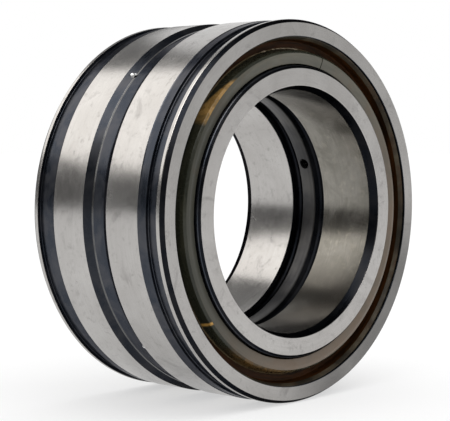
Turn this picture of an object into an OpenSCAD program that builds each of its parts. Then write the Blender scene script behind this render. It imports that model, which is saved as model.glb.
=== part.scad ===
// Double-row full-complement cylindrical roller bearing, sealed on both sides.
// The axis of rotation is Y, the origin is the centre of the bearing, and the front face looks towards -Y.
// Profiles are drawn as [radius, distance from the middle plane]; turned() stands them on the Y axis.

/* [Main sizes] */
// Diameter of the bore that the shaft goes into
bore_d = 70; // [69:0.5:70.5]
// Outside diameter
outer_d = 110; // [109.5:0.5:111]
// Width across the two inner ring halves
inner_w = 54; // [53.6:0.2:55]
// Width of the outer ring
outer_w = 53; // [52.8:0.1:53.4]

/* [Outer ring] */
// Distance from the middle plane to the end of each ground land
land_end = 17; // [15:0.5:19]
// Width of the outside oil groove at its mouth
oil_groove_w = 9.5; // [8:0.5:12]
// Width of the outside oil groove at its floor
oil_floor_w = 4.5; // [3:0.5:6]
// Depth of the outside oil groove
oil_groove_depth = 1.4; // [0.8:0.1:1.8]
// Distance between the inner walls of the two snap ring grooves
snap_span = 40.2; // [39:0.2:41]
// Width of a snap ring groove
snap_w = 4.0; // [3:0.1:4.2]
// Depth of a snap ring groove
snap_depth = 1.1; // [0.8:0.1:1.5]
// Diameter of the oil holes in the outer ring
oil_hole_d = 1.6; // [1.2:0.1:2.4]

/* [Inner ring] */
// Diameter of the ribs on the inner ring
rib_d = 83.8; // [83:0.2:84]
// Width of the groove in the bore that holds the retaining strip
strip_groove_w = 12.7; // [12.6:0.1:14]
// Diameter of the lubrication holes through the joint of the two halves
lube_hole_d = 3.3; // [2.5:0.1:4]
// Number of lubrication holes
lube_holes = 3; // [2:1:4]

/* [Rollers] */
// Rollers in each row
roller_count = 28; // [24:1:28]
// Nominal roller diameter, which is half the difference between the raceways
roller_d = 10; // [9.8:0.1:10]
// Roller length
roller_len = 18; // [17:0.1:18]
// Clearance between a roller and each raceway
roller_play = 0.02; // [0.01:0.01:0.05]

/* [Hidden] */
$fn = 180;

bore_r = bore_d / 2;
outer_r = outer_d / 2;
outer_end = outer_w / 2;
inner_end = inner_w / 2;

// The rollers of a row stand round this circle, about a tenth of a millimetre apart.
pitch_r = 45.14;
race_out_r = pitch_r + roller_d / 2;
race_in_r = pitch_r - roller_d / 2;
rib_r = rib_d / 2;
rib_height = rib_r - race_in_r;

// The rollers run between the middle rib and an outer rib of the inner ring.
end_play = 0.1;
mid_rib = 2.65;
row_start = mid_rib + end_play;
rib_face = row_start + roller_len + end_play;
relief_w = 0.8;
relief_depth = 0.3;

// Outer ring
unground_r = outer_r - 0.15;
unground_slope = 0.3;
end_chamfer_w = 1.35;
end_chamfer_h = 0.9;
seat_h = 0.75;
seat_lip = 0.75;
seat_end = outer_end - seat_lip;
seat_start = rib_face + 0.65;
oil_hole_offset = 2.4;
oil_hole_angles_back = [134, 314];
oil_hole_angles_front = [44, 224];

// Seals, as radius and depth below the outer ring's face: the rim sits in the seat groove, a deep channel
// runs round inside it, and a wide band rises from the channel towards the inner ring and ends in a lip.
seal_fit = 0.03;
rim = [50.0, seat_lip + seal_fit];
rim_foot = [49.35, 1.9];
channel_out = [49.0, 4.4];
channel_in = [46.4, 4.4];
shoulder = [46.1, 1.3];
band_edge = [45.4, 0.65];
band_crest = [44.5, 0.45];
band_inner = [42.3, 0.95];
lip_back = [42.3, 2.2];
lip_start = [41.95, 3];
lip_end = [41.95, 3.4];
lip_under = [43.1, 3.2];
band_under = [45, 3.4];
seal_foot_r = 45.3;

// Inner ring
bore_chamfer_w = 2.7;
bore_chamfer_h = 1.16;
rib_chamfer_w = 0.8;
rib_chamfer_h = 0.85;
lube_angle = 21.2;

// Retaining strip: a hat-shaped band, whose two flanges hook the halves together.
strip_r = bore_r + 0.3;
strip_crown = 2.5;
strip_step_r = bore_r + 1;
strip_step = 4;
strip_land_r = bore_r + 1.38;
strip_hook_r = bore_r + 1.9;
strip_hook_in = 4.25;
strip_hook_out = strip_groove_w / 2 - 0.25;
strip_play = 0.03;
strip_slit = 0.5;

roller_chamfer = 0.45;

steel = [0.74, 0.73, 0.71];
blackened = [0.17, 0.18, 0.20];
olive = [0.34, 0.32, 0.26];
bright = [0.80, 0.80, 0.80];

function roller_name(k) = str("roller_pair_", k < 10 ? "0" : "", k);

// A profile that is the same on both sides of the middle plane, from the points of its front half
function both_sides(half) = concat(half, [for (i = [len(half) - 1 : -1 : 0]) [half[i][0], -half[i][1]]]);

// Points given as radius and depth below the outer ring's face, as profile points
function below_face(points) = [for (p = points) [p[0], outer_end - p[1]]];

module turned(profile) rotate([90, 0, 0]) rotate_extrude() polygon(profile);

// A radial hole from radius r1 to r2 at an angle, dist towards the front of the middle plane
module radial_hole(d, angle, r1, r2, dist = 0) {
    rotate([90, 0, 0]) rotate([0, 0, angle]) translate([r1, 0, dist])
        rotate([0, 90, 0]) cylinder(h = r2 - r1, d = d);
}

module to_back() mirror([0, 1, 0]) children();

module outer_ring() {
    half = [
        [outer_r - oil_groove_depth, oil_floor_w / 2],
        [outer_r, oil_groove_w / 2],
        [outer_r, land_end],
        [unground_r, land_end + unground_slope],
        [unground_r, snap_span / 2],
        [outer_r - snap_depth, snap_span / 2],
        [outer_r - snap_depth, snap_span / 2 + snap_w],
        [outer_r, snap_span / 2 + snap_w],
        [outer_r, outer_end - end_chamfer_w],
        [outer_r - end_chamfer_h, outer_end],
        [race_out_r, outer_end],
        [race_out_r, seat_end],
        [race_out_r + seat_h, seat_end],
        [race_out_r + seat_h, seat_start],
        [race_out_r, seat_start],
        [race_out_r, mid_rib + relief_w],
        [race_out_r + relief_depth, mid_rib + relief_w],
        [race_out_r + relief_depth, mid_rib],
        [race_out_r - rib_height, mid_rib],
    ];
    color(steel) difference() {
        turned(both_sides(half));
        for (a = oil_hole_angles_back)
            radial_hole(oil_hole_d, a, race_out_r - rib_height - 1, outer_r + 1, -oil_hole_offset);
        for (a = oil_hole_angles_front)
            radial_hole(oil_hole_d, a, race_out_r - rib_height - 1, outer_r + 1, oil_hole_offset);
    }
}

module seal() {
    seat_r = race_out_r + seat_h - seal_fit;
    foot = seat_start + seal_fit;
    profile = concat(
        [[seal_foot_r, foot], [seat_r, foot], [seat_r, seat_end - seal_fit]],
        below_face([rim, rim_foot, channel_out, channel_in, shoulder, band_edge, band_crest, band_inner,
            lip_back, lip_start, lip_end, lip_under, band_under]));
    color(olive) turned(profile);
}

module inner_half() {
    profile = [
        [strip_land_r, 0],
        [strip_land_r, strip_hook_in],
        [strip_hook_r, strip_hook_in],
        [strip_hook_r, strip_groove_w / 2],
        [bore_r, strip_groove_w / 2],
        [bore_r, inner_end - bore_chamfer_w],
        [bore_r + bore_chamfer_h, inner_end],
        [rib_r - rib_chamfer_h, inner_end],
        [rib_r, inner_end - rib_chamfer_w],
        [rib_r, rib_face],
        [race_in_r - relief_depth, rib_face],
        [race_in_r - relief_depth, rib_face - relief_w],
        [race_in_r, rib_face - relief_w],
        [race_in_r, mid_rib + relief_w],
        [race_in_r - relief_depth, mid_rib + relief_w],
        [race_in_r - relief_depth, mid_rib],
        [rib_r, mid_rib],
        [rib_r, 0],
    ];
    color(steel) difference() {
        turned(profile);
        for (i = [0 : lube_holes - 1])
            radial_hole(lube_hole_d, lube_angle + i * 360 / lube_holes, bore_r - 1, rib_r + 1);
    }
}

// The back half is the front half mirrored, with its lubrication holes at the same angles.
module inner_ring_front() inner_half();
module inner_ring_back() to_back() inner_half();

module retaining_strip() {
    half = [
        [strip_r, strip_crown],
        [strip_step_r, strip_step],
        [strip_step_r, strip_hook_out],
        [strip_hook_r - strip_play, strip_hook_out],
        [strip_hook_r - strip_play, strip_hook_in + 2 * strip_play],
        [strip_land_r - strip_play, strip_hook_in + 2 * strip_play],
    ];
    color(blackened) difference() {
        turned(both_sides(half));
        for (i = [0 : lube_holes - 1])
            radial_hole(lube_hole_d, lube_angle + i * 360 / lube_holes, bore_r - 1, rib_r);
        translate([-strip_hook_r - 1, -strip_groove_w / 2, -strip_slit / 2])
            cube([4, strip_groove_w, strip_slit]);
    }
}

module roller() {
    r = roller_d / 2 - roller_play;
    c = roller_chamfer;
    rotate_extrude() polygon([
        [0, 0], [r - c, 0], [r - 0.3 * c, 0.3 * c], [r, c],
        [r, roller_len - c], [r - 0.3 * c, roller_len - 0.3 * c], [r - c, roller_len], [0, roller_len]]);
}

// Two rollers on one line, one in each row
module roller_pair(k) {
    color(bright) rotate([90, 0, 0]) rotate([0, 0, (k - 1) * 360 / roller_count])
        for (start = [row_start, -row_start - roller_len])
            translate([pitch_r, 0, start]) roller();
}

outer_ring();
seal();  // seal_front
to_back() seal();  // seal_back
inner_ring_front();
inner_ring_back();
retaining_strip();
for (k = [1 : roller_count])
    roller_pair(k);
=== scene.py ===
"""Looks of a sealed double-row cylindrical roller bearing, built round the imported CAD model.

Objects are in metres. The axis of rotation is Y and the front face looks towards -Y. A profile is a list
of corners in millimetres: radius and distance from the middle plane, counted towards the front.
"""
import math

import bmesh
import bpy
import numpy as np
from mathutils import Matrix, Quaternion, Vector


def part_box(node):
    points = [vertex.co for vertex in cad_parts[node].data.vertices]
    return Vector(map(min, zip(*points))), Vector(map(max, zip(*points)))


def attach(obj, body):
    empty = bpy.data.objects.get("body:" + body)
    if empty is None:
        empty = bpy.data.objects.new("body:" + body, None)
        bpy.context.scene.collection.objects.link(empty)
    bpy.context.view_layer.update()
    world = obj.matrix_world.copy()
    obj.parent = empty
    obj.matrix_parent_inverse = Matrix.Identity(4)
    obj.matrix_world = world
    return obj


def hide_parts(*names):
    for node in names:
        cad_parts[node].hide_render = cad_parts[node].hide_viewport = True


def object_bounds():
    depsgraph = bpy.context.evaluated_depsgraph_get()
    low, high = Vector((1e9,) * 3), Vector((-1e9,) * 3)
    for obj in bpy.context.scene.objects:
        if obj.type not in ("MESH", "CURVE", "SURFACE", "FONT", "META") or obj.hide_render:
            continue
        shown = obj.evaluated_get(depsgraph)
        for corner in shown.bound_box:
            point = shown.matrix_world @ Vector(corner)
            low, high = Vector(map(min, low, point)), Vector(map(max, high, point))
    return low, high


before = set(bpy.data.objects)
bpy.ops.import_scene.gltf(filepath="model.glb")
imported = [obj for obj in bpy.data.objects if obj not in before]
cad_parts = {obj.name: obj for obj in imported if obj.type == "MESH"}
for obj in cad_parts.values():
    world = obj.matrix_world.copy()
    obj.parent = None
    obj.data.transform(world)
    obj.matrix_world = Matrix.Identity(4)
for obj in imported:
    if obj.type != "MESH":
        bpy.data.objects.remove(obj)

MM = 0.001
cad_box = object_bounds()


def half_size(node, axis):
    """Half of a node's box along an axis, in millimetres."""
    low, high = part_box(node)
    return (high[axis] - low[axis]) / 2 / MM


# Main sizes, read from the frame, in millimetres
OUTER_R = half_size("outer_ring", 0)
OUTER_W = 2 * half_size("outer_ring", 1)
INNER_W = 2 * cad_box[1][1] / MM
RIB_R = half_size("inner_ring_front", 0)
BORE_R = 35.0

# Radii that several lines of the profiles share, in millimetres
UNGROUND_R = OUTER_R - 0.15
SNAP_R = OUTER_R - 1.1
RACE_OUT_R = OUTER_R - 4.86
SEAT_R = OUTER_R - 4.11
RACE_IN_R = RIB_R - 1.76
RELIEF = 0.3

# Distances from the middle plane, in millimetres
MID_RIB_END = 2.65
RELIEF_END = 3.45
LAND_END = 17.0
SNAP_START, SNAP_END = 20.1, 24.1
ROW_END = 20.85
SEAT_START = 21.5
HOOK_START, STRIP_GROOVE_END = 4.25, 6.35

# Places of the holes, as angles in degrees from +X towards +Z, and their sizes in millimetres
LUBE_ANGLES = (21.2, 141.2, 261.2)
LUBE_HOLE = 3.3
OIL_ANGLES_BACK = (134, 314)
OIL_ANGLES_FRONT = (44, 224)
OIL_OFFSET = 2.4
OIL_HOLE, COUNTERSINK = 1.3, 2.6

# Faces round a full turn of each turned piece
SEGMENTS = 384


# ---------------------------------------------------------------- materials

class Nodes:
    """A short way to write a node tree: every method adds a node and returns its output."""

    def __init__(self, name):
        self.material = bpy.data.materials.new(name)
        self.material.use_nodes = True
        self.tree = self.material.node_tree
        self.shader = self.tree.nodes["Principled BSDF"]

    def add(self, kind, **settings):
        node = self.tree.nodes.new(kind)
        for key, value in settings.items():
            setattr(node, key, value)
        return node

    def feed(self, socket, value):
        if isinstance(value, bpy.types.NodeSocket):
            self.tree.links.new(value, socket)
        else:
            socket.default_value = value

    def math(self, operation, a, b=0.0, clamp=False):
        node = self.add("ShaderNodeMath", operation=operation, use_clamp=clamp)
        self.feed(node.inputs[0], a)
        self.feed(node.inputs[1], b)
        return node.outputs[0]

    def vector(self, x, y, z):
        node = self.add("ShaderNodeCombineXYZ")
        for socket, value in zip(node.inputs, (x, y, z)):
            self.feed(socket, value)
        return node.outputs[0]

    def noise(self, vector, scale, detail=4.0, rough=0.55, distortion=0.0):
        node = self.add("ShaderNodeTexNoise")
        self.feed(node.inputs["Vector"], vector)
        node.inputs["Scale"].default_value = scale
        node.inputs["Detail"].default_value = detail
        node.inputs["Roughness"].default_value = rough
        node.inputs["Distortion"].default_value = distortion
        return node.outputs["Fac"]

    def ramp(self, value, low, high, to_low=0.0, to_high=1.0):
        node = self.add("ShaderNodeMapRange", clamp=True, interpolation_type="SMOOTHSTEP")
        self.feed(node.inputs["Value"], value)
        for name, number in zip(("From Min", "From Max", "To Min", "To Max"), (low, high, to_low, to_high)):
            self.feed(node.inputs[name], number)
        return node.outputs[0]

    def mix(self, share, a, b):
        node = self.add("ShaderNodeMix", data_type="RGBA")
        self.feed(node.inputs[0], share)
        self.feed(node.inputs[6], (*a, 1) if isinstance(a, tuple) else a)
        self.feed(node.inputs[7], (*b, 1) if isinstance(b, tuple) else b)
        return node.outputs[2]

    def bump(self, height, strength, distance, normal=None):
        node = self.add("ShaderNodeBump")
        self.feed(node.inputs["Height"], height)
        node.inputs["Strength"].default_value = strength
        node.inputs["Distance"].default_value = distance
        if normal is not None:
            self.feed(node.inputs["Normal"], normal)
        return node.outputs[0]

    def position(self):
        return self.add("ShaderNodeTexCoord").outputs["Object"]

    def polar(self):
        """The position along X, Y and Z, and the radius from the Y axis."""
        split = self.add("ShaderNodeSeparateXYZ")
        self.feed(split.inputs[0], self.position())
        x, y, z = split.outputs
        radius = self.math("SQRT", self.math("ADD", self.math("MULTIPLY", x, x), self.math("MULTIPLY", z, z)))
        return x, y, z, radius

    def round_axis(self, around, along):
        """Coordinates that follow the turning marks: slow round the Y axis, fast along and across it."""
        x, y, z, radius = self.polar()
        lane = self.math("ADD", y, self.math("MULTIPLY", radius, 1.37))
        return self.vector(
            self.math("MULTIPLY", self.math("DIVIDE", x, radius), around),
            self.math("MULTIPLY", lane, along),
            self.math("MULTIPLY", self.math("DIVIDE", z, radius), around))

    def toward(self, angle, near, far):
        """1 within near degrees of an angle round the axis, 0 beyond far degrees from it."""
        x, _, z, radius = self.polar()
        t = math.radians(angle)
        along = self.math("ADD", self.math("MULTIPLY", x, math.cos(t)), self.math("MULTIPLY", z, math.sin(t)))
        share = self.math("DIVIDE", along, radius)
        return self.ramp(share, math.cos(math.radians(far)), math.cos(math.radians(near)))

    def stretch(self, angle, start, end, edge=2.0, lean=0.0):
        """1 on a stretch of the front seal from start to end degrees either side of an angle, else 0.

        The start moves on by lean degrees for each millimetre below the outer ring's face.
        """
        x, y, z, radius = self.polar()
        t, degree = math.radians(angle), math.radians(1)
        across = self.math("SUBTRACT", self.math("MULTIPLY", z, math.cos(t)),
                           self.math("MULTIPLY", x, math.sin(t)))
        side = self.math("DIVIDE", self.math("DIVIDE", across, radius), degree)
        depth = self.math("ADD", self.math("DIVIDE", y, MM), OUTER_W / 2)
        first = self.math("SUBTRACT", side, self.math("MULTIPLY", depth, lean))
        rise = self.ramp(first, start - edge, start + edge)
        both = self.math("MULTIPLY", rise, self.ramp(side, end - edge, end + edge, 1.0, 0.0))
        return self.math("MULTIPLY", both, self.toward(angle, 60, 89))

    def set(self, **sockets):
        """Feeds the shader's sockets and returns the material."""
        for name, value in sockets.items():
            self.feed(self.shader.inputs[name.replace("_", " ")], value)
        return self.material


def ground_steel(name="ground_steel", shade=1.0, painted_shade_angle=None):
    """Cylindrically ground bearing steel: warm grey, fine marks round the axis, faint stains.

    Round the given angle, if there is one, the steel has a darker mottled patch of painted shade.
    """
    n = Nodes(name)
    marks = n.noise(n.round_axis(3.5, 2600), 1.0, 3.0, 0.6)
    fine = n.noise(n.round_axis(9.0, 9000), 1.0, 2.0, 0.6)
    clouds = n.noise(n.position(), 55, 4.0, 0.6, 0.4)
    specks = n.noise(n.position(), 420, 5.0, 0.7, 0.3)
    stains = n.noise(n.position(), 75, 5.0, 0.65, 1.5)
    dark, light, streak, speck = (tuple(shade * c for c in colour) for colour in (
        (0.395, 0.382, 0.368), (0.460, 0.448, 0.434), (0.31, 0.298, 0.287), (0.25, 0.242, 0.232)))
    colour = n.mix(n.ramp(clouds, 0.3, 0.72), dark, light)
    colour = n.mix(n.ramp(marks, 0.35, 0.75, 0.0, 0.22), colour, streak)
    colour = n.mix(n.ramp(specks, 0.54, 0.72, 0.0, 0.5), colour, speck)
    colour = n.mix(n.ramp(stains, 0.54, 0.72, 0.0, 0.6), colour, tuple(0.8 * c for c in streak))
    if painted_shade_angle is not None:
        # painted shade: a darker mottled patch round the given angle
        patch = n.math("MULTIPLY", n.toward(painted_shade_angle, 22, 54), n.ramp(clouds, 0.3, 0.6, 0.75, 1.0))
        colour = n.mix(patch, colour, tuple(0.4 * c for c in light))
    rough = n.math("ADD", n.ramp(clouds, 0.25, 0.75, 0.18, 0.24), n.ramp(specks, 0.45, 0.7, 0.0, 0.05))
    bump = n.bump(fine, 0.06, 0.00004, n.bump(marks, 0.04, 0.00006))
    return n.set(Base_Color=colour, Metallic=1.0, Roughness=rough, Normal=bump)


def shaded_bore_steel():
    """The front half's bore: olive and mottled, painted darker than the back half's bore as shade, with a
    painted shadow across its bottom.
    """
    n = Nodes("shaded_bore_steel")
    marks = n.noise(n.round_axis(3.0, 2200), 1.0, 3.0, 0.6)
    film = n.noise(n.position(), 90, 5.0, 0.62, 1.2)
    specks = n.noise(n.position(), 480, 5.0, 0.7, 0.5)
    colour = n.mix(n.ramp(film, 0.3, 0.7), (0.175, 0.167, 0.145), (0.262, 0.250, 0.225))
    colour = n.mix(n.ramp(specks, 0.5, 0.7, 0.0, 0.45), colour, (0.34, 0.315, 0.27))
    colour = n.mix(n.ramp(marks, 0.4, 0.75, 0.0, 0.3), colour, (0.14, 0.132, 0.112))
    # painted shadow: the bottom of the bore is darkened
    painted_shadow = n.math("MULTIPLY", n.toward(285, 25, 58), n.ramp(film, 0.25, 0.6, 0.6, 0.85))
    colour = n.mix(painted_shadow, colour, (0.055, 0.050, 0.042))
    bump = n.bump(marks, 0.05, 0.00006, n.bump(specks, 0.12, 0.00008))
    return n.set(Base_Color=colour, Metallic=1.0, Roughness=n.ramp(film, 0.3, 0.7, 0.19, 0.25), Normal=bump)


def blackened_steel(name="blackened_steel", shade=1.0, coat=0.25):
    """Turned steel that keeps its dark heat treatment skin: bluish black, semi-gloss, with turning marks."""
    n = Nodes(name)
    marks = n.noise(n.round_axis(2.0, 1500), 1.0, 3.0, 0.6)
    blotch = n.noise(n.position(), 130, 5.0, 0.62, 0.6)
    dark = tuple(shade * c for c in (0.030, 0.036, 0.048))
    light = tuple(shade * c for c in (0.064, 0.066, 0.075))
    colour = n.mix(n.ramp(blotch, 0.35, 0.7), dark, light)
    rough = n.math("ADD", n.ramp(blotch, 0.3, 0.7, 0.24, 0.34), n.ramp(marks, 0.3, 0.7, -0.02, 0.05))
    return n.set(Base_Color=colour, Metallic=0.95, Roughness=rough, Normal=n.bump(marks, 0.25, 0.00010),
                 Specular_Tint=(0.3, 0.3, 0.32, 1), Coat_Weight=coat, Coat_Roughness=0.12)


def turned_steel():
    """Turned and unpolished: the line at the foot of the oil groove's back flank."""
    n = Nodes("turned_steel")
    marks = n.noise(n.round_axis(2.5, 1800), 1.0, 3.0, 0.6)
    blotch = n.noise(n.position(), 160, 4.0, 0.6, 0.5)
    colour = n.mix(n.ramp(blotch, 0.3, 0.7), (0.085, 0.086, 0.089), (0.15, 0.149, 0.148))
    colour = n.mix(n.ramp(marks, 0.45, 0.7, 0.0, 0.6), colour, (0.055, 0.056, 0.059))
    return n.set(Base_Color=colour, Metallic=1.0, Roughness=n.ramp(blotch, 0.3, 0.7, 0.16, 0.26),
                 Normal=n.bump(marks, 0.2, 0.00008))


def drilled_steel():
    """The bright cut of a drilled or countersunk hole."""
    n = Nodes("drilled_steel")
    marks = n.noise(n.position(), 900, 3.0)
    colour = n.mix(marks, (0.62, 0.62, 0.62), (0.80, 0.80, 0.79))
    return n.set(Base_Color=colour, Metallic=1.0, Roughness=0.22, Normal=n.bump(marks, 0.15, 0.00005))


def strip_steel():
    """Rolled strip: dark satin grey."""
    n = Nodes("strip_steel")
    marks = n.noise(n.round_axis(1.5, 2200), 1.0, 3.0)
    blotch = n.noise(n.position(), 90, 4.0)
    colour = n.mix(n.ramp(blotch, 0.3, 0.7), (0.038, 0.038, 0.040), (0.078, 0.076, 0.073))
    return n.set(Base_Color=colour, Metallic=0.9, Roughness=n.ramp(marks, 0.3, 0.7, 0.28, 0.38),
                 Normal=n.bump(marks, 0.15, 0.00006))


def moulded(n, colour, rough, height, coat, specular):
    """The seal's polymer under a thin film of oil."""
    return n.set(Base_Color=colour, Metallic=0.0, Roughness=rough, Normal=n.bump(height, 0.2, 0.00008),
                 Coat_Weight=coat, Coat_Roughness=0.15, Specular_IOR_Level=specular)


def seal_band():
    """The flat lip band of the moulded seal: olive grey, satin, browner towards the lower right, with painted
    shade on its left side.
    """
    n = Nodes("seal_band")
    flow = n.noise(n.round_axis(3.0, 300), 1.0, 4.0, 0.6, 0.5)
    stain = n.noise(n.position(), 120, 4.0, 0.6, 0.8)
    colour = n.mix(n.ramp(flow, 0.3, 0.7), (0.062, 0.060, 0.045), (0.098, 0.092, 0.070))
    brown = n.math("MULTIPLY", n.toward(310, 30, 120), n.ramp(stain, 0.3, 0.6, 0.5, 1.0))
    colour = n.mix(brown, colour, (0.132, 0.098, 0.070))
    colour = n.mix(n.ramp(stain, 0.5, 0.75, 0.0, 0.5), colour, (0.105, 0.070, 0.040))
    # painted shade: darker on the left side of the band
    dark = n.math("MULTIPLY", n.toward(182, 20, 75), 0.7)
    colour = n.mix(dark, colour, (0.026, 0.027, 0.020))
    return moulded(n, colour, n.ramp(stain, 0.3, 0.75, 0.34, 0.48), flow, 0.1, 0.35)


def seal_rim():
    """The rim beside the outer ring: brown and olive, with darker runs of oil."""
    n = Nodes("seal_rim")
    flow = n.noise(n.round_axis(4.0, 420), 1.0, 4.0, 0.62, 0.8)
    stain = n.noise(n.position(), 170, 4.0, 0.6, 1.0)
    patch = n.noise(n.position(), 60, 3.0, 0.6, 0.5)
    colour = n.mix(n.ramp(flow, 0.3, 0.7), (0.032, 0.025, 0.014), (0.078, 0.062, 0.038))
    colour = n.mix(n.ramp(stain, 0.45, 0.7, 0.0, 0.8), colour, (0.050, 0.024, 0.010))
    colour = n.mix(n.ramp(patch, 0.42, 0.6, 0.85, 0.0), colour, (0.012, 0.010, 0.006))
    return moulded(n, colour, n.ramp(stain, 0.3, 0.75, 0.36, 0.5), flow, 0.0, 0.2)


def seal_channel():
    """The deep floor of the channel, filled with dark red-brown oil."""
    n = Nodes("seal_channel")
    flow = n.noise(n.round_axis(4.0, 420), 1.0, 4.0, 0.62, 0.8)
    stain = n.noise(n.position(), 260, 4.0, 0.6, 1.4)
    colour = n.mix(n.ramp(flow, 0.3, 0.7), (0.010, 0.005, 0.002), (0.042, 0.015, 0.004))
    return moulded(n, colour, n.ramp(stain, 0.3, 0.75, 0.35, 0.5), stain, 0.0, 0.04)


def seal_bead_highlight():
    """A bead at the foot of the wall: dark brown, with a light beige painted highlight near the top, broken
    up by noise.
    """
    n = Nodes("seal_bead_highlight")
    film = n.noise(n.position(), 210, 4.0, 0.6, 1.0)
    # painted highlight: light beige on the bead near 86 degrees
    painted_highlight = n.math("MULTIPLY", n.ramp(film, 0.42, 0.62), n.toward(86, 10, 26))
    colour = n.mix(painted_highlight, (0.10, 0.075, 0.040), (0.62, 0.52, 0.38))
    return moulded(n, colour, 0.35, film, 0.1, 0.4)


def seal_shoulder():
    """The wall up to the band: nearly black olive, with painted amber reflections: a wide one near 136
    degrees, a brown one near 250 degrees and a narrow one near 219 degrees.
    """
    n = Nodes("seal_shoulder")
    flow = n.noise(n.round_axis(4.0, 420), 1.0, 4.0, 0.62, 0.8)
    film = n.noise(n.position(), 260, 4.0, 0.6, 1.4)
    colour = n.mix(n.ramp(flow, 0.3, 0.7), (0.016, 0.018, 0.012), (0.034, 0.034, 0.022))
    # painted reflection: wide amber streak near 136 degrees
    painted_glint_wide = n.math("MULTIPLY", n.stretch(136, -14, 10, 2.0, 4.5), n.ramp(film, 0.3, 0.6, 0.4, 1.0))
    colour = n.mix(painted_glint_wide, colour, (0.34, 0.20, 0.062))
    # painted reflection: brown streak near 250 degrees
    brown = n.math("MULTIPLY", n.stretch(250, -14, 16, 6.0), n.ramp(film, 0.3, 0.65, 0.3, 1.0))
    colour = n.mix(brown, colour, (0.110, 0.062, 0.020))
    # painted glint: narrow amber line near 219 degrees
    thin = n.math("MULTIPLY", n.stretch(219, -0.5, 0.6, 0.4), n.ramp(film, 0.4, 0.55, 0.3, 1.0))
    colour = n.mix(thin, colour, (0.50, 0.28, 0.07))
    return moulded(n, colour, n.ramp(film, 0.3, 0.75, 0.22, 0.34), film, 0.1, 0.25)


def roller_steel():
    """Lapped roller steel, with marks round each roller too fine to see but for their sheen."""
    n = Nodes("roller_steel")
    grain = n.noise(n.position(), 1400, 3.0)
    colour = n.mix(grain, (0.66, 0.65, 0.64), (0.74, 0.735, 0.73))
    return n.set(Base_Color=colour, Metallic=1.0, Roughness=n.ramp(grain, 0.3, 0.7, 0.12, 0.2),
                 Normal=n.bump(grain, 0.08, 0.00003))


GROUND, TURNED, BLACK, DRILLED, BORE, CHAMFER, FACE, FLANK = range(8)
STEELS = (
    ground_steel(), turned_steel(), blackened_steel(), drilled_steel(),
    # The chamfer, face and flank steels are darker copies of the blackened and ground steels: painted shade
    # on the chamfers, the strip's flanges, the outer ring's faces and the oil groove's back flank; the face
    # steel also has a patch of painted shade round 312 degrees.
    shaded_bore_steel(), blackened_steel("chamfer_shaded_steel", 0.25, 0.0),
    ground_steel("face_shaded_steel", 0.90, 312), blackened_steel("flank_shaded_steel", 0.55, 0.1))


# ---------------------------------------------------------------- turned shapes

def soften(corners, steps=5, lead=0.12):
    """Rounds the corners (radius, distance, rounding, material) of a closed profile.

    Each corner's material is that of the line after it. A rounded corner is ground if either line is. A
    point a short lead away from each rounding keeps the flat beside it flat.
    """
    points, slots = [], []
    count = len(corners)
    for i, (r, d, rounding, slot) in enumerate(corners):
        here = np.array((r, d), float)
        before = corners[i - 1]
        after = corners[(i + 1) % count]
        if rounding == 0:
            points.append(here)
            slots.append(slot)
            continue
        inward = here - np.array(before[:2], float)
        outward = np.array(after[:2], float) - here
        room_in, room_out = np.linalg.norm(inward), np.linalg.norm(outward)
        inward, outward = inward / room_in, outward / room_out
        turn = math.acos(max(-1.0, min(1.0, float(inward @ outward))))
        reach = min(rounding * math.tan(turn / 2), 0.45 * room_in, 0.45 * room_out)
        start, end = here - inward * reach, here + outward * reach
        edge_slot = min(before[3], slot)
        if room_in > 4 * (reach + lead):
            points.append(start - inward * lead)
            slots.append(before[3])
        for k in range(steps + 1):
            u = k / steps
            points.append((1 - u) ** 2 * start + 2 * u * (1 - u) * here + u * u * end)
            slots.append(edge_slot if k < steps else slot)
        if room_out > 4 * (reach + lead):
            points.append(end + outward * lead)
            slots.append(slot)
    return np.array(points), slots


def both_sides(half):
    """A whole profile from its front half; the material of a line is that of its mirror image."""
    return half + to_back(half)


def to_back(corners):
    """The mirror image of a profile, behind the middle plane."""
    return [(r, -d, rounding, corners[i - 1][3])
            for i, (r, d, rounding, _) in reversed(list(enumerate(corners)))]


def turned(name, corners, materials, segments=SEGMENTS):
    """A mesh object made by turning a profile round Y."""
    points, slots = soften(corners)
    rows = len(points)
    angles = np.arange(segments) * 2 * math.pi / segments
    verts = np.empty((segments, rows, 3))
    verts[:, :, 0] = np.cos(angles)[:, None] * points[None, :, 0]
    verts[:, :, 1] = -points[None, :, 1]
    verts[:, :, 2] = np.sin(angles)[:, None] * points[None, :, 0]
    j, i = np.meshgrid(np.arange(segments), np.arange(rows), indexing="ij")
    j2, i2 = (j + 1) % segments, (i + 1) % rows
    quads = np.stack([j * rows + i, j * rows + i2, j2 * rows + i2, j2 * rows + i], -1).reshape(-1, 4)
    area = 0.5 * np.sum(points[:, 0] * np.roll(points[:, 1], -1) - np.roll(points[:, 0], -1) * points[:, 1])
    if area < 0:
        quads = quads[:, ::-1]
    mesh = bpy.data.meshes.new(name)
    mesh.from_pydata((verts.reshape(-1, 3) * MM).tolist(), [], quads.tolist())
    mesh.polygons.foreach_set("material_index", np.tile(slots, segments))
    for material in materials:
        mesh.materials.append(material)
    piece = bpy.data.objects.new(name, mesh)
    bpy.context.scene.collection.objects.link(piece)
    smooth(piece)
    return piece


def smooth(piece, angle=32):
    mesh = piece.data
    mesh.shade_smooth()
    mesh.set_sharp_from_angle(angle=math.radians(angle))
    mesh.update()


FORWARD = Vector((0, -1, 0))


def radial(angle):
    """The directions outwards and round the axis, at an angle."""
    t = math.radians(angle)
    return Vector((math.cos(t), 0, math.sin(t))), Vector((-math.sin(t), 0, math.cos(t)))


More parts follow.
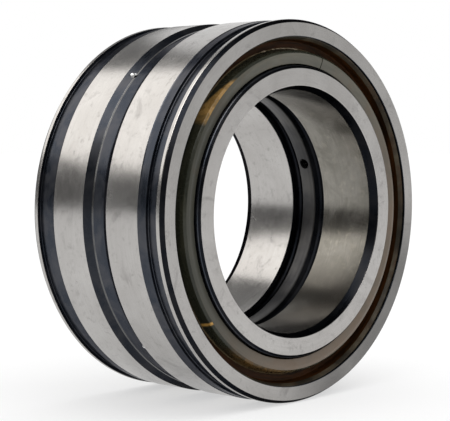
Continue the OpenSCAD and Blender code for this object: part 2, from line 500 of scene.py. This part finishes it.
def radial_drill(diameter, angle, dist, r1, r2, outer_diameter=None, sides=48):
    """Vertices and faces of a drill along a radius, from r1 to r2, or of a cone that widens outwards."""
    along, side = radial(angle)
    verts, faces = [], []
    for station, radius in ((r1, diameter / 2), (r2, (outer_diameter or diameter) / 2)):
        for k in range(sides):
            a = 2 * math.pi * k / sides
            spot = along * station + side * radius * math.cos(a) + FORWARD * (dist + radius * math.sin(a))
            verts.append(spot * MM)
    for k in range(sides):
        k2 = (k + 1) % sides
        faces.append([k, k2, sides + k2, sides + k])
    faces.append(list(range(sides - 1, -1, -1)))
    faces.append(list(range(sides, 2 * sides)))
    return verts, faces


def slit(angle, r1, r2, front, back, width):
    """Vertices and faces of a thin radial blade."""
    along, side = radial(angle)
    verts = [(along * r + side * s * width / 2 + FORWARD * d) * MM
             for r in (r1, r2) for d in (back, front) for s in (-1, 1)]
    faces = [[0, 2, 3, 1], [4, 5, 7, 6], [0, 1, 5, 4], [2, 6, 7, 3], [0, 4, 6, 2], [1, 3, 7, 5]]
    return verts, faces


def clean(mesh):
    """Joins points closer than a ten-thousandth of a millimetre and drops the faces this flattens."""
    shape = bmesh.new()
    shape.from_mesh(mesh)
    bmesh.ops.remove_doubles(shape, verts=shape.verts, dist=1e-7)
    bmesh.ops.dissolve_degenerate(shape, edges=shape.edges, dist=1e-7)
    shape.to_mesh(mesh)
    shape.free()


def cut(piece, solids, slot):
    """Cuts solids, given as vertices and faces, out of a piece. The cut faces take a material slot."""
    verts, faces = [], []
    for solid_verts, solid_faces in solids:
        base = len(verts)
        verts += solid_verts
        faces += [[base + v for v in face] for face in solid_faces]
    mesh = bpy.data.meshes.new("cutter")
    mesh.from_pydata([tuple(v) for v in verts], [], faces)
    for material in piece.data.materials:
        mesh.materials.append(material)
    mesh.polygons.foreach_set("material_index", [slot] * len(faces))
    cutter = bpy.data.objects.new("cutter", mesh)
    bpy.context.scene.collection.objects.link(cutter)
    modifier = piece.modifiers.new("cut", "BOOLEAN")
    modifier.object = cutter
    modifier.operation = "DIFFERENCE"
    modifier.solver = "EXACT"
    modifier.material_mode = "INDEX"
    shaped = bpy.data.meshes.new_from_object(piece.evaluated_get(bpy.context.evaluated_depsgraph_get()))
    piece.modifiers.clear()
    clean(shaped)
    old = piece.data
    shaped.name = old.name
    piece.data = shaped
    bpy.data.meshes.remove(old)
    bpy.data.objects.remove(cutter)
    bpy.data.meshes.remove(mesh)
    smooth(piece)


# ---------------------------------------------------------------- pieces

def outer_ring():
    """The oil groove's back flank is painted darker, as shade, and its foot keeps a bright line from the
    turning tool.
    """
    end = OUTER_W / 2
    half = [
        (OUTER_R - 1.4, 1.9, 0.2, BLACK),
        (OUTER_R - 1.32, 2.4, 0.5, BLACK),
        (OUTER_R, 4.75, 0.12, GROUND),
        (OUTER_R, LAND_END, 0.2, BLACK),
        (UNGROUND_R, LAND_END + 0.35, 0.2, BLACK),
        (UNGROUND_R, SNAP_START, 0.12, BLACK),
        (SNAP_R, SNAP_START, 0.25, BLACK),
        (SNAP_R, SNAP_END, 0.15, BLACK),
        (OUTER_R, SNAP_END, 0.10, GROUND),
        (OUTER_R, end - 1.35, 0.5, CHAMFER),
        (OUTER_R - 0.9, end, 0.10, FACE),
        (RACE_OUT_R, end, 0.14, BLACK),
        (RACE_OUT_R, end - 0.75, 0.08, BLACK),
        (SEAT_R, end - 0.75, 0, BLACK),
        (SEAT_R, SEAT_START, 0, GROUND),
        (RACE_OUT_R, SEAT_START, 0.1, GROUND),
        (RACE_OUT_R, RELIEF_END, 0, BLACK),
        (RACE_OUT_R + RELIEF, RELIEF_END, 0, BLACK),
        (RACE_OUT_R + RELIEF, MID_RIB_END, 0, GROUND),
        (RACE_OUT_R - 1.76, MID_RIB_END, 0.15, BLACK),
    ]
    corners = both_sides(half)
    # painted shade: the back flank takes the darker flank steel
    corners[-3] = (*corners[-3][:3], FLANK)
    corners[-2] = (*corners[-2][:3], TURNED)
    piece = turned("outer_ring_turned", corners, STEELS)
    places = [(a, -OIL_OFFSET) for a in OIL_ANGLES_BACK] + [(a, OIL_OFFSET) for a in OIL_ANGLES_FRONT]
    cut(piece, [radial_drill(1.2, a, d, 53.35, 54.4, COUNTERSINK) for a, d in places], DRILLED)
    cut(piece, [radial_drill(OIL_HOLE, a, d, 46, 56) for a, d in places], BLACK)
    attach(piece, "outer")
    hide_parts("outer_ring")


def inner_half(node, flip):
    """One half of the split inner ring; the back half is the front one's mirror image."""
    end = INNER_W / 2
    bore = GROUND if flip else BORE
    corners = [
        (BORE_R + 1.38, 0, 0, BLACK),
        (BORE_R + 1.38, HOOK_START, 0, BLACK),
        (BORE_R + 1.9, HOOK_START, 0, BLACK),
        (BORE_R + 1.9, STRIP_GROOVE_END, 0, BLACK),
        (BORE_R, STRIP_GROOVE_END, 0.15, bore),
        (BORE_R, end - 2.7, 0.3, CHAMFER),
        (BORE_R + 1.16, end, 0.15, GROUND),
        (RIB_R - 0.85, end, 0.10, CHAMFER),
        (RIB_R, end - 0.8, 0.7, BLACK),
        (RIB_R, ROW_END, 0.2, GROUND),
        (RACE_IN_R - RELIEF, ROW_END, 0, BLACK),
        (RACE_IN_R - RELIEF, ROW_END - 0.8, 0, BLACK),
        (RACE_IN_R, ROW_END - 0.8, 0, GROUND),
        (RACE_IN_R, RELIEF_END, 0, BLACK),
        (RACE_IN_R - RELIEF, RELIEF_END, 0, BLACK),
        (RACE_IN_R - RELIEF, MID_RIB_END, 0, GROUND),
        (RIB_R, MID_RIB_END, 0.2, GROUND),
        (RIB_R, 0, 0, GROUND),
    ]
    if flip:
        corners = to_back(corners)
    piece = turned(node + "_turned", corners, STEELS)
    cut(piece, [radial_drill(LUBE_HOLE, a, 0, 33, 44) for a in LUBE_ANGLES], DRILLED)
    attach(piece, "inner")
    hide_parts(node)


def retaining_strip():
    """A hat-shaped strip: a satin crown between two flanges that hook the ring halves together, painted dark
    as shade.
    """
    crown, flange = range(2)
    half = [
        (BORE_R + 0.32, 0.7, 1.5, crown),
        (BORE_R + 0.44, 2.3, 1.4, flange),
        (BORE_R + 1.15, 3.7, 1.0, flange),
        (BORE_R + 1.22, 4.6, 0.5, flange),
        (BORE_R + 1.55, 6.1, 0.1, flange),
        (BORE_R + 1.87, 6.1, 0.1, flange),
        (BORE_R + 1.87, 4.31, 0, flange),
        (BORE_R + 1.35, 4.31, 0, flange),
    ]
    corners = both_sides(half)
    corners[-1] = (*corners[-1][:3], crown)
    # the flanges take the darker chamfer steel: painted shade
    piece = turned("retaining_strip_rolled", corners, (strip_steel(), STEELS[CHAMFER]))
    drills = [radial_drill(LUBE_HOLE, a, 0, 33, 40) for a in LUBE_ANGLES]
    cut(piece, drills + [slit(180, 33.5, 38.5, 7, -7, 0.5)], crown)
    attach(piece, "inner")
    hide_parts("retaining_strip")


def seal(node, flip, materials):
    """A moulded lip seal: a rim, a deep channel and a band that rises towards the inner ring.

    A fine crack crosses the band where the moulding meets itself.
    """
    band, rim, channel, shoulder, bead = range(5)
    end = OUTER_W / 2
    seat = OUTER_R - 4.14
    corners = [
        (seat, 21.53, 0, rim),
        (seat, end - 0.78, 0.1, rim),
        (50.0, end - 0.78, 0.3, rim),
        (49.35, end - 1.9, 0.3, channel),
        (49.0, end - 4.4, 0.5, channel),
        (47.0, end - 4.4, 0.1, bead),
        (46.7, end - 4.05, 0.1, shoulder),
        (46.1, end - 1.3, 0.5, shoulder),
        (45.4, end - 0.65, 0.3, band),
        (44.5, end - 0.45, 0.9, band),
        (42.3, end - 0.95, 0.2, shoulder),
        (42.3, end - 2.2, 0.2, shoulder),
        (RIB_R + 0.05, end - 3.0, 0.05, shoulder),
        (RIB_R + 0.05, end - 3.4, 0.05, shoulder),
        (43.1, end - 3.2, 0.2, shoulder),
        (45.0, end - 3.4, 0.2, shoulder),
        (45.3, 21.53, 0, rim),
    ]
    if flip:
        corners = to_back(corners)
    piece = turned(node + "_moulded", corners, materials)
    side = -1 if flip else 1
    near, far = sorted((side * (end - 1.3), side * (end + 0.5)))
    cut(piece, [slit(76.6, 42.0, 46.6, far, near, 0.3)], shoulder)
    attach(piece, "outer")
    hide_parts(node)


def rollers():
    """The CAD rollers have their true shape, so they only get their material."""
    steel = roller_steel()
    for name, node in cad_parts.items():
        if name.startswith("roller_pair"):
            node.data.materials.clear()
            node.data.materials.append(steel)


outer_ring()
inner_half("inner_ring_front", False)
inner_half("inner_ring_back", True)
retaining_strip()
SEAL_FINISHES = (seal_band(), seal_rim(), seal_channel(), seal_shoulder(), seal_bead_highlight())
seal("seal_front", False, SEAL_FINISHES)
seal("seal_back", True, SEAL_FINISHES)
rollers()


# ---------------------------------------------------------------- studio

def plain_floor():
    """A pale light table: it glows a little, so no hard shadow lies under the bearing."""
    n = Nodes("floor_paint")
    material = n.set(Base_Color=(0.42, 0.42, 0.42, 1), Roughness=1.0, Specular_IOR_Level=0.0,
                     Emission_Color=(1, 1, 1, 1), Emission_Strength=0.55)
    mesh = bpy.data.meshes.new("floor")
    sides, reach = 96, 4.0
    rim = [(reach * math.cos(2 * math.pi * k / sides), reach * math.sin(2 * math.pi * k / sides), 0)
           for k in range(sides)]
    mesh.from_pydata(rim, [], [list(range(sides))])
    mesh.materials.append(material)
    floor = bpy.data.objects.new("floor", mesh)
    floor.location.z = cad_box[0][2]
    bpy.context.scene.collection.objects.link(floor)


def overhead():
    """A broad soft light from above, even over the whole floor."""
    data = bpy.data.lights.new("overhead", "SUN")
    data.energy = 0.7
    data.angle = math.radians(60)
    lamp = bpy.data.objects.new("overhead", data)
    lamp.rotation_euler = (math.radians(14), math.radians(10), 0)
    lamp.visible_glossy = False
    bpy.context.scene.collection.objects.link(lamp)


def softbox(name, place, towards, width, height, brightness, tint=(1, 1, 1), roll=0):
    """A soft panel in metres that shows in the steel and looks towards a point, rolled by an angle."""
    data = bpy.data.lights.new(name, "AREA")
    data.shape = "RECTANGLE"
    data.size, data.size_y = width, height
    data.energy = brightness * math.pi * width * height
    data.color = tint
    lamp = bpy.data.objects.new(name, data)
    lamp.location = place
    aim = (Vector(towards) - Vector(place)).to_track_quat("-Z", "Y")
    lamp.rotation_euler = (aim @ Quaternion((0, 0, 1), math.radians(roll))).to_euler()
    lamp.visible_camera = False
    lamp.visible_diffuse = False
    bpy.context.scene.collection.objects.link(lamp)


def studio_room():
    """A plain white tent, which the steel reflects dim and a little lighter overhead."""
    world = bpy.data.worlds.new("studio")
    world.use_nodes = True
    tree = world.node_tree
    add, link = tree.nodes.new, tree.links.new
    split = add("ShaderNodeSeparateXYZ")
    link(add("ShaderNodeTexCoord").outputs["Generated"], split.inputs[0])
    height = add("ShaderNodeMapRange")
    link(split.outputs[2], height.inputs["Value"])
    height.inputs["To Min"].default_value = 0.13
    height.inputs["To Max"].default_value = 0.30
    tent = add("ShaderNodeMix")
    tent.data_type = "RGBA"
    link(add("ShaderNodeLightPath").outputs["Is Glossy Ray"], tent.inputs[0])
    tent.inputs[6].default_value = (1, 1, 1, 1)
    link(height.outputs[0], tent.inputs[7])
    link(tent.outputs[2], tree.nodes["Background"].inputs["Color"])
    bpy.context.scene.world = world


def camera():
    azimuth, elevation, distance = math.radians(-46.87), math.radians(3.16), 0.4337
    data = bpy.data.cameras.new("camera")
    data.sensor_width = 36
    data.lens = 116
    data.shift_x, data.shift_y = -0.0169, -0.0044
    data.clip_start = 0.01
    view = bpy.data.objects.new("camera", data)
    level = math.cos(elevation)
    view.location = distance * Vector((
        math.sin(azimuth) * level, -math.cos(azimuth) * level, math.sin(elevation)))
    view.rotation_euler = (-view.location).to_track_quat("-Z", "Y").to_euler()
    bpy.context.scene.collection.objects.link(view)
    bpy.context.scene.camera = view


WARM = (1.0, 0.975, 0.945)

plain_floor()
studio_room()
overhead()
softbox("left_behind", (-0.215, 0.20, 0.265), (-0.215, 0.0, 0.265), 0.40, 0.34, 1.7, WARM)
softbox("right_behind", (0.215, 0.20, 0.215), (0.215, 0.0, 0.215), 0.30, 0.20, 0.75, roll=45)
softbox("left_above", (-0.26, -0.09, 0.42), (0.0, 0.0, 0.0), 0.40, 0.40, 4.2, WARM)
softbox("right_front", (0.98, -0.91, 0.43), (0.0, 0.0, 0.0), 1.2, 0.9, 0.65)
camera()
bpy.context.scene.view_settings.view_transform = "Standard"
